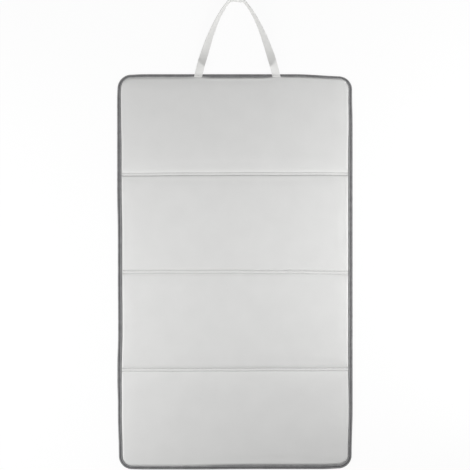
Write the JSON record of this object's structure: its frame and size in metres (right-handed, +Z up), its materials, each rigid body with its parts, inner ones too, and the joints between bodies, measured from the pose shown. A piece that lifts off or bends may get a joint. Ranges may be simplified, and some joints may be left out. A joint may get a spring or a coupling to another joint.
{
  "type": "folding ironing pad",
  "caption": "Flat padded ironing pad of equal panels that folds like a concertina at sewn seams, with a bound edge and a webbing hand loop at one end.",
  "frame": {"origin": "on the table under the pad, at the centre of the whole outline with the hand loop laid out", "axes": "+Z up out of the ironing face, +Y along the pad's length towards the hand loop, +X across the pad"},
  "size_m": [0.596, 1.19, 0.0198],
  "materials": {
    "cover_cloth": "smooth satin, coated cotton",
    "felt": "needled felt",
    "foam_sheet": "closed cell foam",
    "base_cloth": "plain woven polyester",
    "binding_tape": "woven tape",
    "grey_thread": "spun polyester thread",
    "pale_thread": "spun polyester thread",
    "webbing": "woven webbing",
    "white_thread": "spun polyester thread"
  },
  "bodies": {
    "panel_1": {"backing_1": "base_cloth", "core_1": "foam_sheet", "felt_1": "felt", "cover_1": "cover_cloth", "binding_strap_end": "binding_tape", "binding_stitch_strap_end": "grey_thread", "fold_1_stitch_a": "pale_thread", "strap_foot_left": "webbing", "strap_foot_right": "webbing", "strap_tack_left": "white_thread", "strap_tack_right": "white_thread"},
    "panel_2": {"backing_2": "base_cloth", "core_2": "foam_sheet", "felt_2": "felt", "cover_2": "cover_cloth", "binding_2_left": "binding_tape", "binding_2_right": "binding_tape", "binding_stitch_2_left": "grey_thread", "binding_stitch_2_right": "grey_thread", "fold_1_stitch_b": "pale_thread", "fold_2_stitch_a": "pale_thread"},
    "panel_3": {"backing_3": "base_cloth", "core_3": "foam_sheet", "felt_3": "felt", "cover_3": "cover_cloth", "binding_3_left": "binding_tape", "binding_3_right": "binding_tape", "binding_stitch_3_left": "grey_thread", "binding_stitch_3_right": "grey_thread", "fold_2_stitch_b": "pale_thread", "fold_3_stitch_a": "pale_thread"},
    "panel_4": {"backing_4": "base_cloth", "core_4": "foam_sheet", "felt_4": "felt", "cover_4": "cover_cloth", "binding_far_end": "binding_tape", "binding_stitch_far_end": "grey_thread", "fold_3_stitch_b": "pale_thread"},
    "handle": {"handle_strap": "webbing"}
  },
  "joints": [
    {"name": "fold_1", "type": "hinge", "parent": "panel_1", "child": "panel_2", "pos_m": [0, 0.153, 0.00815], "axis": [-1, 0, 0], "range_deg": [0, 177]},
    {"name": "fold_2", "type": "hinge", "parent": "panel_2", "child": "panel_3", "pos_m": [0, -0.095, -0.00015], "axis": [1, 0, 0], "range_deg": [0, 177]},
    {"name": "fold_3", "type": "hinge", "parent": "panel_3", "child": "panel_4", "pos_m": [0, -0.343, 0.00815], "axis": [-1, 0, 0], "range_deg": [0, 177]},
    {"name": "handle_swing", "type": "hinge", "parent": "panel_1", "child": "handle", "pos_m": [0.006, 0.4055, 0.0076], "axis": [1, 0, 0], "range_deg": [0, 70]}
  ],
  "couplings": [
    {"joint": "fold_2", "follows": "fold_1", "ratio": 1},
    {"joint": "fold_3", "follows": "fold_1", "ratio": 1}
  ]
}
